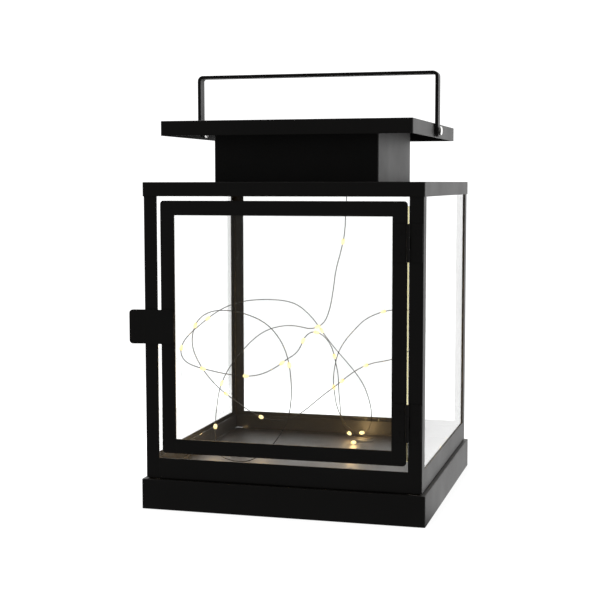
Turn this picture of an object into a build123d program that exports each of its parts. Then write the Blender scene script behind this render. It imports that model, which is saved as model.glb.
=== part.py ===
from build123d import *
import math
import os

# Solar lantern. Millimetres, +Z up, origin at the bottom centre of the plinth.
# The door is on the -Y side, its hinges on the +X side.

# ---------------------------------------------------------------- driving dimensions
PLINTH_SIDE = 200.0
PLINTH_TOP = 21.0
SHEET = 0.8                     # folded steel of the plinth, posts, rails, neck and roof
BODY_HALF = 97.3                # outer face of the posts and rails
FLOOR_SIDE = 192.0
RAIL_TOP = 36.0
POST_WIDTH = 9.5
CAP_HALF = 98.0                 # lower roof, its rim wraps the tops of the posts
CAP_SHEET = 0.7
CAP_BOTTOM, CAP_TOP = 217.5, 227.2
CAP_HOLE = 100.0
NECK_SIDE = 118.0
ROOF_HALF = 88.0                # upper roof
ROOF_BOTTOM, ROOF_TOP = 258.9, 269.0
ROOF_HOLE = 92.4
FLANGE = 8.0                    # turned-in edge of the folded parts

GLASS = 2.0
RETAINER_TOP = 33.0

DOOR_LEFT, DOOR_RIGHT = -85.1, 86.6
DOOR_BOTTOM, DOOR_TOP = 39.8, 214.6
DOOR_FRONT = -97.5              # 0.2 proud of the posts
DOOR_STRIP = 10.0               # width of the flat strips
DOOR_SHEET = 1.0
DOOR_CORNER = 2.5

HINGE_X, HINGE_Y = 87.3, -98.9  # axis of the hinge pins
HINGE_LENGTH = 25.0
HINGE_CENTRES = (187.5, 68.8)
KNUCKLE_RADIUS = 1.3
PIN_RADIUS = 0.65
PIN_CLEARANCE = 0.05
LEAF = 0.8
LEAF_REACH = 9.4                # from the axis to the leaf's outer edge
KNUCKLE_GAP = 0.2
RIVET_RADIUS = 0.8

TAB_BOTTOM, TAB_TOP = 115.9, 139.6
TAB_INNER = -75.6
TAB_SHEET = 1.0
TAB_REACH = 10.0                # part that stands out past the post
TAB_BEND = 12.0                 # degrees
TAB_CORNER = 2.5

MODULE_SIDE = 92.0
MODULE_FLANGE_SIDE = 100.0
MODULE_FLANGE = 1.2
MODULE_BOTTOM = 249.0
MODULE_WALL = 1.6
PANEL_SIDE = 88.6
BOARD_SHEET = 1.6

BATTERY_Y, BATTERY_RADIUS, BATTERY_LENGTH = -22.0, 7.1, 49.0
BATTERY_Z = 258.2
COVER_LENGTH, COVER_WIDTH, COVER_SHEET = 66.0, 24.0, 1.4
SWITCH_X, SWITCH_Y = -22.0, 22.0
SWITCH_TRAVEL = 3.0

HANDLE_INNER = 88.4             # inner face of each arm
HANDLE_SHEET = 2.3
HANDLE_WIDTH = 8.5
HANDLE_TOP = 306.1
HANDLE_BEND = 4.0               # outer radius of the two top bends
PIVOT_Z = 263.6
PIVOT_RADIUS = 2.0

WIRE_RADIUS = 0.3
BEAD_RADIUS = 1.5
BEND_SHARE = 0.45               # share of the shorter run that an arc of the wire takes up

# The LED wire from its gland, down through the lower roof and round in loose loops.
WIRE_ROUTE = [
    (22, 0, 245), (22, 1, 236), (23, 0, 219), (22, 1, 203), (22, -1, 190), (19, 0, 177),
    (14, 3, 162), (12, 4, 147), (10, 2, 133), (6, 0, 122), (-3, -3, 118), (-13, -1, 120),
    (-25, 3, 120), (-40, 10, 116), (-52, 16, 109), (-63, 20, 99), (-72, 19, 88), (-77, 14, 78),
    (-80, 9, 67), (-80, 4, 55), (-79, -2, 48), (-76, -12, 36), (-69, -26, 24), (-55, -37, 23),
    (-41, -43, 24), (-28, -43, 31), (-16, -44, 44), (-8, -47, 59), (-5, -50, 75), (-5, -52, 91),
    (-7, -54, 105), (-11, -55, 115), (-18, -55, 124), (-27, -54, 130), (-39, -53, 134), (-52, -52, 136),
    (-65, -51, 135), (-75, -50, 129), (-80, -49, 119), (-81, -47, 107), (-77, -43, 95), (-72, -38, 85),
    (-66, -30, 75), (-60, -18, 66), (-55, -4, 57), (-50, 8, 50), (-44, 16, 45), (-29, 24, 43),
    (-15, 22, 52), (0, 17, 65), (12, 12, 74), (23, 6, 83), (33, 1, 90), (44, -5, 95), (56, -13, 98),
    (67, -20, 102), (77, -22, 109), (83, -12, 119), (81, 4, 127), (73, 17, 131), (61, 24, 132),
    (50, 27, 131), (40, 30, 128), (30, 31, 123), (22, 32, 115), (14, 33, 106), (8, 35, 96), (5, 37, 85),
    (3, 40, 74), (3, 45, 62), (3, 52, 51), (5, 61, 40), (8, 71, 31), (13, 79, 25), (21, 82, 26),
    (25, 80, 35), (26, 75, 46), (25, 68, 57), (23, 60, 68), (18, 52, 79), (12, 44, 89), (7, 35, 98),
    (1, 26, 109), (-4, 18, 120), (-9, 10, 129), (-16, 4, 136), (-24, -1, 139), (-34, -6, 140),
    (-44, -11, 140), (-53, -16, 139), (-62, -22, 136), (-70, -29, 131), (-77, -38, 124), (-82, -48, 118),
    (-85, -56, 112), (-85, -61, 105), (-81, -62, 99), (-74, -58, 95), (-66, -52, 92), (-57, -46, 89),
    (-48, -40, 87), (-39, -34, 86), (-31, -28, 88), (-24, -22, 92), (-18, -17, 97), (-12, -12, 101),
    (-9, -9, 107), (-7, -7, 113), (-2, -5, 117), (4, -1, 115), (8, 5, 109), (10, 12, 101), (10, 20, 91),
    (10, 29, 79), (8, 38, 66), (7, 47, 53), (6, 54, 41), (8, 60, 31), (13, 67, 25), (21, 72, 24),
    (29, 69, 24), (31, 60, 23), (25, 52, 24), (17, 48, 24)]
# Runs of the route that carry a bead at their middle; one more bead ends the wire
BEAD_RUNS = (4, 9, 17, 20, 29, 37, 42, 45, 50, 52, 56, 61, 68, 73, 82, 91, 94, 97, 100, 103, 106,
             108, 111, 117)


# ---------------------------------------------------------------- helpers
def box(x0, x1, y0, y1, z0, z1):
    """A block given by its two corners on each axis."""
    centre = ((x0 + x1) / 2, (y0 + y1) / 2, (z0 + z1) / 2)
    return Pos(*centre) * Box(x1 - x0, y1 - y0, z1 - z0)


def square_block(side, z0, z1):
    """A block with a square plan, centred on the Z axis."""
    return box(-side / 2, side / 2, -side / 2, side / 2, z0, z1)


def rounded_block(side, z0, z1, corner):
    """The same with its four upright edges rounded."""
    return extrude(Pos(0, 0, z0) * RectangleRounded(side, side, corner), amount=z1 - z0)


def rod_x(radius, x0, x1, y, z):
    """A cylinder along X."""
    return Pos((x0 + x1) / 2, y, z) * Rot(0, 90, 0) * Cylinder(radius, abs(x1 - x0))


def rod_y(radius, y0, y1, x, z):
    """A cylinder along Y."""
    return Pos(x, (y0 + y1) / 2, z) * Rot(90, 0, 0) * Cylinder(radius, abs(y1 - y0))


def rod_z(radius, z0, z1, x, y):
    """A cylinder along Z."""
    return Pos(x, y, (z0 + z1) / 2) * Cylinder(radius, abs(z1 - z0))


def turned(shape, quarter_turns):
    """The shape turned about the Z axis in steps of 90 degrees."""
    return Rot(0, 0, 90 * quarter_turns) * shape


def save(name, *solids):
    """Write one node: one solid, or a group of separate ones."""
    shape = solids[0] if len(solids) == 1 else Compound(children=list(solids))
    export_step(shape, os.path.join("parts", name + ".step"))


# ---------------------------------------------------------------- folded sheet steel
def folded_tray(half, bottom, top, sheet, hole, corner=1.2):
    """A square tray folded downwards, with a square hole in its top."""
    outer = rounded_block(2 * half, bottom, top, corner)
    outer = fillet(outer.edges().group_by(Axis.Z)[-1], 0.6)
    inner = square_block(2 * (half - sheet), bottom, top - sheet)
    tray = outer - inner
    return tray - square_block(hole, top - 2 * sheet, top) if hole else tray


def plinth():
    """Hollow base: a folded tray with its bottom edge turned in."""
    side = PLINTH_SIDE
    tray = folded_tray(side / 2, 0, PLINTH_TOP, SHEET, 0)
    lip = rounded_block(side, 0, SHEET, 1.2) - square_block(side - 2 * FLANGE, 0, SHEET)
    return tray + lip


def post(quarter_turns, top):
    """Upright corner angle; number 0 stands at the front left."""
    edge, inner = -BODY_HALF, -BODY_HALF + POST_WIDTH
    z0 = PLINTH_TOP + SHEET
    angle = box(edge, inner, edge, inner, z0, top) - box(edge + SHEET, inner, edge + SHEET, inner, z0, top)
    corner = angle.edges().filter_by(Axis.Z).sort_by_distance((edge, edge, z0))[0]
    return turned(fillet(corner, 0.6), quarter_turns)


def bottom_rail(quarter_turns):
    """Angle between two posts; its foot lies on the floor plate. Number 0 is the front one."""
    reach = BODY_HALF - POST_WIDTH
    z0 = PLINTH_TOP + SHEET
    upright = box(-reach, reach, -BODY_HALF, -BODY_HALF + SHEET, z0, RAIL_TOP)
    foot = box(-reach, reach, -BODY_HALF, -BODY_HALF + 4.5, z0, z0 + SHEET)
    return turned(upright + foot, quarter_turns)


def neck():
    """Square tube between the roofs, with turned-in flanges at both ends."""
    top = ROOF_TOP - SHEET
    tube = rounded_block(NECK_SIDE, CAP_TOP, top, 1.4)
    tube -= square_block(NECK_SIDE - 2 * SHEET, CAP_TOP + SHEET, top - SHEET)
    return tube - square_block(NECK_SIDE - 2 * FLANGE, CAP_TOP, top)


def make_shell():
    save("plinth", plinth())
    floor_half = FLOOR_SIDE / 2
    save("floor_plate", box(-floor_half, floor_half, -floor_half, floor_half, PLINTH_TOP, PLINTH_TOP + SHEET))
    post_top = CAP_TOP - CAP_SHEET
    for turns, name in enumerate(("front_left", "front_right", "back_right", "back_left")):
        save("post_" + name, post(turns, post_top))
    for turns, name in enumerate(("front", "right", "back", "left")):
        save("rail_" + name, bottom_rail(turns))
    save("lower_roof", folded_tray(CAP_HALF, CAP_BOTTOM, CAP_TOP, CAP_SHEET, CAP_HOLE))
    save("neck", neck())
    roof = folded_tray(ROOF_HALF, ROOF_BOTTOM, ROOF_TOP, SHEET, ROOF_HOLE)
    for side in (-1, 1):
        roof -= rod_x(1.55, side * (ROOF_HALF - 2), side * (ROOF_HALF + 1), 0, PIVOT_Z)
    save("upper_roof", roof)


# ---------------------------------------------------------------- glazing
def make_glazing():
    """Three fixed panes, each held against the posts by two thin strips."""
    outer = BODY_HALF - SHEET
    inner = outer - GLASS
    pane_foot = PLINTH_TOP + 2 * SHEET
    pane_top = 224.0
    pane = box(-94.2, 94.2, -outer, -inner, pane_foot, pane_top)
    low = box(-93.4, 93.4, -inner, -inner + SHEET, pane_foot, RETAINER_TOP)
    high = box(-93.4, 93.4, -inner, -inner + SHEET, CAP_BOTTOM, CAP_TOP - CAP_SHEET)
    for turns, name in ((1, "right"), (2, "back"), (3, "left")):
        save("glass_" + name, turned(pane, turns))
        save("glass_retainers_" + name, turned(low, turns), turned(high, turns))


# ---------------------------------------------------------------- door
def door_strip(x0, x1, z0, z1):
    return box(x0, x1, DOOR_FRONT, DOOR_FRONT + DOOR_SHEET, z0, z1)


def stile(x0, outer_x, rivet_x=None):
    """Full-height door strip with its two outer corners rounded."""
    strip = door_strip(x0, x0 + DOOR_STRIP, DOOR_BOTTOM, DOOR_TOP)
    corners = strip.edges().filter_by(Axis.Y).filter_by(lambda e: abs(e.center().X - outer_x) < 0.1)
    strip = fillet(corners, DOOR_CORNER)
    if rivet_x is not None:
        for z in rivet_heights():
            strip -= rod_y(RIVET_RADIUS, DOOR_FRONT - 1, DOOR_FRONT + 2, rivet_x, z)
    return strip


def rivet_heights():
    """Two rivets in each leaf, 7 either side of the hinge's middle."""
    return [z + side * 7.0 for z in HINGE_CENTRES for side in (-1, 1)]


def latch_tab():
    """Riveted pull: laps over the post and bends out past it."""
    bend = math.radians(TAB_BEND)
    along = (-math.cos(bend), -math.sin(bend))
    knee = (-BODY_HALF - 0.2, DOOR_FRONT)
    tip = (knee[0] + TAB_REACH * along[0], knee[1] + TAB_REACH * along[1])
    outer_knee = (knee[0] - TAB_SHEET * math.tan(bend / 2), knee[1] - TAB_SHEET)
    outer_tip = (tip[0] + TAB_SHEET * along[1], tip[1] - TAB_SHEET * math.cos(bend))
    outline = Polyline((TAB_INNER, DOOR_FRONT), knee, tip, outer_tip, outer_knee,
                       (TAB_INNER, DOOR_FRONT - TAB_SHEET), close=True)
    sheet = extrude(Pos(0, 0, TAB_BOTTOM) * make_face(outline), amount=TAB_TOP - TAB_BOTTOM)
    width = TAB_INNER - outer_tip[0]
    middle_x, middle_z = (TAB_INNER + outer_tip[0]) / 2, (TAB_BOTTOM + TAB_TOP) / 2
    window = Plane.XZ * (Pos(middle_x, middle_z, 0) * RectangleRounded(width, TAB_TOP - TAB_BOTTOM, TAB_CORNER))
    return sheet & extrude(window, amount=110)


def door_clip(x, z, upward):
    """Z-shaped tab: its foot on the door strip, its finger over the pane."""
    way = 1 if upward else -1
    back = DOOR_FRONT + DOOR_SHEET
    pane_back = back + GLASS
    foot = box(x - 4, x + 4, back, back + 0.6, *sorted((z - way * 2.2, z)))
    riser = box(x - 4, x + 4, back, pane_back + 0.6, *sorted((z - way * 0.6, z)))
    finger = box(x - 4, x + 4, pane_back, pane_back + 0.6, *sorted((z - way * 0.6, z + way * 4.5)))
    return foot + riser + finger


def make_door():
    save("door_stile_left", stile(DOOR_LEFT, DOOR_LEFT))
    leaf_rivet_x = HINGE_X - 6.0
    save("door_stile_right", stile(DOOR_RIGHT - DOOR_STRIP, DOOR_RIGHT, leaf_rivet_x))
    inner_left, inner_right = DOOR_LEFT + DOOR_STRIP, DOOR_RIGHT - DOOR_STRIP
    save("door_rail_top", door_strip(inner_left, inner_right, DOOR_TOP - DOOR_STRIP, DOOR_TOP))
    save("door_rail_bottom", door_strip(inner_left, inner_right, DOOR_BOTTOM, DOOR_BOTTOM + DOOR_STRIP))
    back = DOOR_FRONT + DOOR_SHEET
    pane_low, pane_high = DOOR_BOTTOM + 3.2, DOOR_TOP - 3.2
    save("door_glass", box(-83.0, DOOR_RIGHT + 0.8, back, back + GLASS, pane_low, pane_high))
    places = [(x, pane_low, True) for x in (-55, 0, 55)] + [(x, pane_high, False) for x in (-55, 0, 55)]
    save("door_clips", *[door_clip(*place) for place in places])
    save("latch_tab", latch_tab())


# ---------------------------------------------------------------- hinges
def leaf(front, side, middle, knuckles, bore):
    """A hinge leaf; side is -1 for the door's and 1 for the post's. front is the face it lies on."""
    low = middle - HINGE_LENGTH / 2
    near, far = HINGE_X + side * 1.6, HINGE_X + side * LEAF_REACH
    plate = box(*sorted((near, far)), front - LEAF, front, low, low + HINGE_LENGTH)
    corners = plate.edges().filter_by(Axis.Y).filter_by(lambda e: abs(e.center().X - far) < 0.1)
    plate = fillet(corners, 1.0)
    for start, end in knuckles:
        bridge = box(*sorted((HINGE_X, near)), front - LEAF, front, low + start, low + end)
        plate += bridge + rod_z(KNUCKLE_RADIUS, low + start, low + end, HINGE_X, HINGE_Y)
    for start, end in knuckles:
        plate -= rod_z(bore, low + start, low + end, HINGE_X, HINGE_Y)
    for z in (middle - 7.0, middle + 7.0):
        plate -= rod_y(RIVET_RADIUS, front - 2, front + 1, HINGE_X + side * 6.0, z)
    return plate


def rivet(x, front, z, grip):
    """Flat round head on the leaf, shank through leaf and sheet."""
    head = rod_y(1.3, front - LEAF - 0.4, front - LEAF, x, z)
    return head + rod_y(RIVET_RADIUS, front - LEAF, front + grip, x, z)


def make_hinges():
    third = HINGE_LENGTH / 3
    post_knuckles = ((0, third), (2 * third, HINGE_LENGTH))
    door_knuckles = ((third + KNUCKLE_GAP, 2 * third - KNUCKLE_GAP),)
    post_front = -BODY_HALF
    save("hinge_leaves_post", *[leaf(post_front, 1, z, post_knuckles, PIN_RADIUS) for z in HINGE_CENTRES])
    door_bore = PIN_RADIUS + PIN_CLEARANCE
    save("hinge_leaves_door", *[leaf(DOOR_FRONT, -1, z, door_knuckles, door_bore) for z in HINGE_CENTRES])
    half = HINGE_LENGTH / 2
    save("hinge_pins", *[rod_z(PIN_RADIUS, z - half, z + half, HINGE_X, HINGE_Y) for z in HINGE_CENTRES])
    save("hinge_rivets_post", *[rivet(HINGE_X + 6.0, post_front, z, 0) for z in rivet_heights()])
    save("hinge_rivets_door", *[rivet(HINGE_X - 6.0, DOOR_FRONT, z, DOOR_SHEET) for z in rivet_heights()])


# ---------------------------------------------------------------- solar module in the neck
def module_housing():
    top = ROOF_TOP + MODULE_FLANGE
    board_seat = ROOF_TOP - 1.8
    body = rounded_block(MODULE_SIDE, MODULE_BOTTOM, ROOF_TOP, 2.0)
    body += rounded_block(MODULE_FLANGE_SIDE, ROOF_TOP, top, 3.0)
    body -= square_block(PANEL_SIDE + 0.2, board_seat, top)
    body -= square_block(84.0, MODULE_BOTTOM + MODULE_WALL, board_seat)
    floor = MODULE_BOTTOM + MODULE_WALL
    body += rod_z(2.6, floor, 258.0, 8, 16) + rod_z(2.6, floor, 258.0, 8, 34)
    body += rod_z(2.4, floor, 255.0, 29, BATTERY_Y + 10) + rod_z(2.4, floor, 255.0, -29, BATTERY_Y - 10)
    for side in (-1, 1):
        body -= rod_z(1.05, MODULE_BOTTOM, 254.0, side * 29, BATTERY_Y + side * 10)
    body -= box(-26, 26, BATTERY_Y - 7.6, BATTERY_Y + 7.6, MODULE_BOTTOM, floor)
    body -= box(SWITCH_X - 3.4, SWITCH_X + 3.4, SWITCH_Y - 1.5, SWITCH_Y + 1.5, MODULE_BOTTOM, floor)
    return body - rod_z(2.0, MODULE_BOTTOM, floor, 22, 0)


def solar_panel(floor):
    """Carrier board, eight cell strips and the clear cover above them."""
    half = PANEL_SIDE / 2
    save("solar_board", box(-half, half, -half, half, floor, floor + BOARD_SHEET))
    cells = []
    for column in range(4):
        for row in range(2):
            x, y = -31.5 + 21.0 * column, -21.0 + 42.0 * row
            cells.append(box(x - 10, x + 10, y - 20.5, y + 20.5, floor + BOARD_SHEET, floor + BOARD_SHEET + 0.3))
    save("solar_cells", *cells)
    save("solar_cover", box(-half, half, -half, half, floor + BOARD_SHEET + 0.3, ROOF_TOP + MODULE_FLANGE))


def battery_contact(side):
    """Bent plate at one end of the battery, standing on the housing floor."""
    end = side * BATTERY_LENGTH / 2
    gap = 1.2 if side > 0 else 0.0
    face = end + side * gap
    floor = MODULE_BOTTOM + MODULE_WALL
    upright = box(*sorted((face, face + side * 0.4)), BATTERY_Y - 5, BATTERY_Y + 5, floor + 4, 262.0)
    foot = box(*sorted((face, face + side * 4.0)), BATTERY_Y - 5, BATTERY_Y + 5, floor, floor + 0.4)
    leg = box(*sorted((face + side * 3.6, face + side * 4.0)), BATTERY_Y - 5, BATTERY_Y + 5, floor, 262.4)
    bow = box(*sorted((face, face + side * 4.0)), BATTERY_Y - 5, BATTERY_Y + 5, 262.0, 262.4)
    return upright + leg + bow + foot - box(*sorted((face, face + side * 3.6)), -28, -16, floor + 0.4, floor + 4)


def make_electronics():
    floor = MODULE_BOTTOM + MODULE_WALL
    board = box(-10, 24, 12, 38, 258.0, 259.2)
    save("circuit_board", board)
    chip = box(-6, 0, 20, 24, 259.2, 260.8)
    inductor = rod_z(2.4, 259.2, 263.0, 16, 30)
    save("board_components", chip, inductor)
    nub = rod_x(2.7, BATTERY_LENGTH / 2, BATTERY_LENGTH / 2 + 1.2, BATTERY_Y, BATTERY_Z)
    save("battery", rod_x(BATTERY_RADIUS, -BATTERY_LENGTH / 2, BATTERY_LENGTH / 2, BATTERY_Y, BATTERY_Z) + nub)
    save("battery_contacts", battery_contact(-1), battery_contact(1))
    half_length, half_width = COVER_LENGTH / 2, COVER_WIDTH / 2
    cover = box(-half_length, half_length, BATTERY_Y - half_width, BATTERY_Y + half_width,
                MODULE_BOTTOM - COVER_SHEET, MODULE_BOTTOM)
    cover = fillet(cover.edges().filter_by(Axis.Z), 2.0)
    screws = []
    for side in (-1, 1):
        x, y = side * 29, BATTERY_Y + side * 10
        cover -= rod_z(1.2, MODULE_BOTTOM - COVER_SHEET, MODULE_BOTTOM, x, y)
        head_top = MODULE_BOTTOM - COVER_SHEET
        screw = rod_z(2.0, head_top - 1.0, head_top, x, y) + rod_z(1.0, head_top, 253.0, x, y)
        screws.append(screw - box(x - 1.4, x + 1.4, y - 0.25, y + 0.25, head_top - 1.0, head_top - 0.5))
    save("battery_cover", cover)
    save("battery_cover_screws", *screws)
    switch = box(SWITCH_X - 5, SWITCH_X + 5, SWITCH_Y - 3, SWITCH_Y + 3, floor, floor + 4.0)
    switch -= box(SWITCH_X - 3.4, SWITCH_X + 3.4, SWITCH_Y - 1.5, SWITCH_Y + 1.5, floor, floor + 1.6)
    save("switch_case", switch)
    knob_x = SWITCH_X - SWITCH_TRAVEL / 2
    knob = box(knob_x - 1.6, knob_x + 1.6, SWITCH_Y - 1.3, SWITCH_Y + 1.3, MODULE_BOTTOM - 1.8, floor + 1.4)
    save("switch_knob", fillet(knob.edges().group_by(Axis.Z)[0], 0.3))
    gland = rod_z(4.0, MODULE_BOTTOM - 1.2, MODULE_BOTTOM, 22, 0) + rod_z(2.0, MODULE_BOTTOM, floor + 1.4, 22, 0)
    gland += Pos(22, 0, 246.4) * Cone(1.2, 2.2, 2.8)
    save("wire_gland", gland)


# ---------------------------------------------------------------- handle
def handle():
    """Flat strip bent to a bail; its arms are rounded round the pivots."""
    outer = HANDLE_INNER + HANDLE_SHEET
    inner_bend = HANDLE_BEND - HANDLE_SHEET
    height = HANDLE_TOP - PIVOT_Z
    outside = Pos(0, PIVOT_Z + height / 2 - 5) * Rectangle(2 * outer, height + 10)
    outside = fillet(outside.vertices().group_by(Axis.Y)[-1], HANDLE_BEND)
    inside = Pos(0, PIVOT_Z + height / 2 - 5 - HANDLE_SHEET) * Rectangle(2 * HANDLE_INNER, height + 10)
    inside = fillet(inside.vertices().group_by(Axis.Y)[-1], inner_bend)
    half = HANDLE_WIDTH / 2
    strip = extrude(Plane.XZ * (outside - inside), amount=half, both=True)
    side_view = rod_x(half, -outer, outer, 0, PIVOT_Z)
    side_view += box(-outer, outer, -half, half, PIVOT_Z, HANDLE_TOP)
    strip &= side_view
    for side in (-1, 1):
        strip -= rod_x(PIVOT_RADIUS + PIN_CLEARANCE, side * (outer + 1), side * (HANDLE_INNER - 1), 0, PIVOT_Z)
    return strip


def handle_screw(side):
    """Shoulder screw: domed head outside the arm, thread through the roof's rim."""
    shoulder_end = HANDLE_INNER + HANDLE_SHEET + 0.3
    head = rod_x(3.1, side * shoulder_end, side * (shoulder_end + 1.9), 0, PIVOT_Z)
    head = fillet(head.edges().filter_by(lambda e: abs(e.center().X) > shoulder_end + 1), 0.9)
    shoulder = rod_x(PIVOT_RADIUS, side * ROOF_HALF, side * shoulder_end, 0, PIVOT_Z)
    return head + shoulder + rod_x(1.5, side * (ROOF_HALF - 4.0), side * ROOF_HALF, 0, PIVOT_Z)


def handle_nut(side):
    wall = ROOF_HALF - SHEET
    blank = Pos(side * (wall - 1.2), 0, PIVOT_Z) * Rot(0, 90, 0) * extrude(
        RegularPolygon(3.1, 6), amount=1.2, both=True)
    return blank - rod_x(1.5, side * (wall - 3), side * (wall + 1), 0, PIVOT_Z)


def make_handle():
    save("handle", handle())
    save("handle_screws", handle_screw(-1), handle_screw(1))
    save("handle_nuts", handle_nut(-1), handle_nut(1))


# ---------------------------------------------------------------- LED wire
def wire_radii(points):
    """Arc radius at each inner point: as large as its two runs allow."""
    radii = []
    for before, point, after in zip(points, points[1:], points[2:]):
        run_in, run_out = point - before, after - point
        half_turn = math.radians(run_in.get_angle(run_out) / 2)
        radii.append(BEND_SHARE * min(run_in.length, run_out.length) / math.tan(half_turn))
    return radii


def make_wire():
    points = [Vector(*point) for point in WIRE_ROUTE]
    radii = wire_radii(points)
    path = FilletPolyline(*points, radius=radii)
    section = Plane(origin=points[0], z_dir=points[1] - points[0]) * Circle(WIRE_RADIUS)
    tube = sweep(section, path=path)
    ideal = math.pi * WIRE_RADIUS ** 2 * path.length
    print("wire radii:", ", ".join(f"{radius:.1f}" for radius in radii))
    print(f"wire length {path.length:.1f}, volume {tube.volume:.1f} for {ideal:.1f}")
    save("led_wire", tube)
    places = [(points[run] + points[run + 1]) / 2 for run in BEAD_RUNS] + [points[-1]]
    save("led_beads", *[Pos(place) * Sphere(BEAD_RADIUS) for place in places])


os.makedirs("parts", exist_ok=True)
make_shell()
make_glazing()
make_door()
make_hinges()
save("module_housing", module_housing())
solar_panel(ROOF_TOP - 1.8)
make_electronics()
make_handle()
make_wire()
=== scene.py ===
# %% [markdown]
# # A solar lantern in Blender
#
# The lantern is a square box of folded black steel and thin glass. A stepped roof holds a solar
# panel, and a springy LED wire hangs from the roof's neck in loose loops. The metal, the glass and
# everything that moves come from the CAD model, which is already the right shape, so Blender's work
# here is the light, the camera, the finishes, and the two pieces that CAD only roughs out: the soft
# curve of the wire and its resin drops.

import math

import bpy
import numpy as np
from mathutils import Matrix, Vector


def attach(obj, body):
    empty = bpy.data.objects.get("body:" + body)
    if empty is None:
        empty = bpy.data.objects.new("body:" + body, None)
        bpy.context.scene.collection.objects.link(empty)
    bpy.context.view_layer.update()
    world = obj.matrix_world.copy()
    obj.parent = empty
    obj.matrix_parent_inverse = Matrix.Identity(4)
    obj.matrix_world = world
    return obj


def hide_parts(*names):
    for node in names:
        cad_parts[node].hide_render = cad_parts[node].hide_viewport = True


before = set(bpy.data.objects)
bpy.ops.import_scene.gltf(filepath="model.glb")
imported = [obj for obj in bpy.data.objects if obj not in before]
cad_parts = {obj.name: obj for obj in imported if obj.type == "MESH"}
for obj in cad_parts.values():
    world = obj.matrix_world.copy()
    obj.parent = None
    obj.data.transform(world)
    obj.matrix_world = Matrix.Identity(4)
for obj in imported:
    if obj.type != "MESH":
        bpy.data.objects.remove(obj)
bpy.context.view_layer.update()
MM = 0.001
WORLD_ROOT = "lantern"

# %% [markdown]
# ## The camera
#
# The lantern is looked at from a little to its right and slightly below its roof, from almost a
# metre away. A long lens keeps the uprights parallel. The camera could be aimed with a Track To
# constraint, but three angles are easier to read: it turns 15 degrees to its left and dips 5
# degrees.

# %% Camera
CAMERA_PLACE = (0.24214, -0.92646, 0.22668)
CAMERA_TURN = 15.377       # degrees to the left of straight ahead
CAMERA_DIP = 5.185         # degrees below the horizon
CAMERA_ROLL = 0.06         # degrees that the horizon leans
CAMERA_LEVEL = 90          # degrees that lift its gaze from straight down to the horizon
LENS = 77.57               # millimetres
SENSOR = 36.0              # millimetres


def add_camera():
    """A camera that looks along +Y when its turn and dip are both zero."""
    data = bpy.data.cameras.new("camera")
    data.lens = LENS
    data.sensor_width = SENSOR
    camera = bpy.data.objects.new("camera", data)
    bpy.context.scene.collection.objects.link(camera)
    camera.location = CAMERA_PLACE
    angles = (CAMERA_LEVEL - CAMERA_DIP, CAMERA_ROLL, CAMERA_TURN)
    camera.rotation_euler = [math.radians(angle) for angle in angles]
    bpy.context.scene.camera = camera
    return camera


camera = add_camera()
print("camera", [round(v, 3) for v in camera.location])

# %% [markdown]
# ## The LED wire
#
# A thin, springy, silvery wire leaves a small gland under the solar module, drops through the lower
# roof and fills the lantern with loose loops that hold themselves up. A wire like this is one
# smooth line, so it is drawn as a single NURBS curve: each point of the route pulls the line
# towards it, and nothing kinks.

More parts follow.
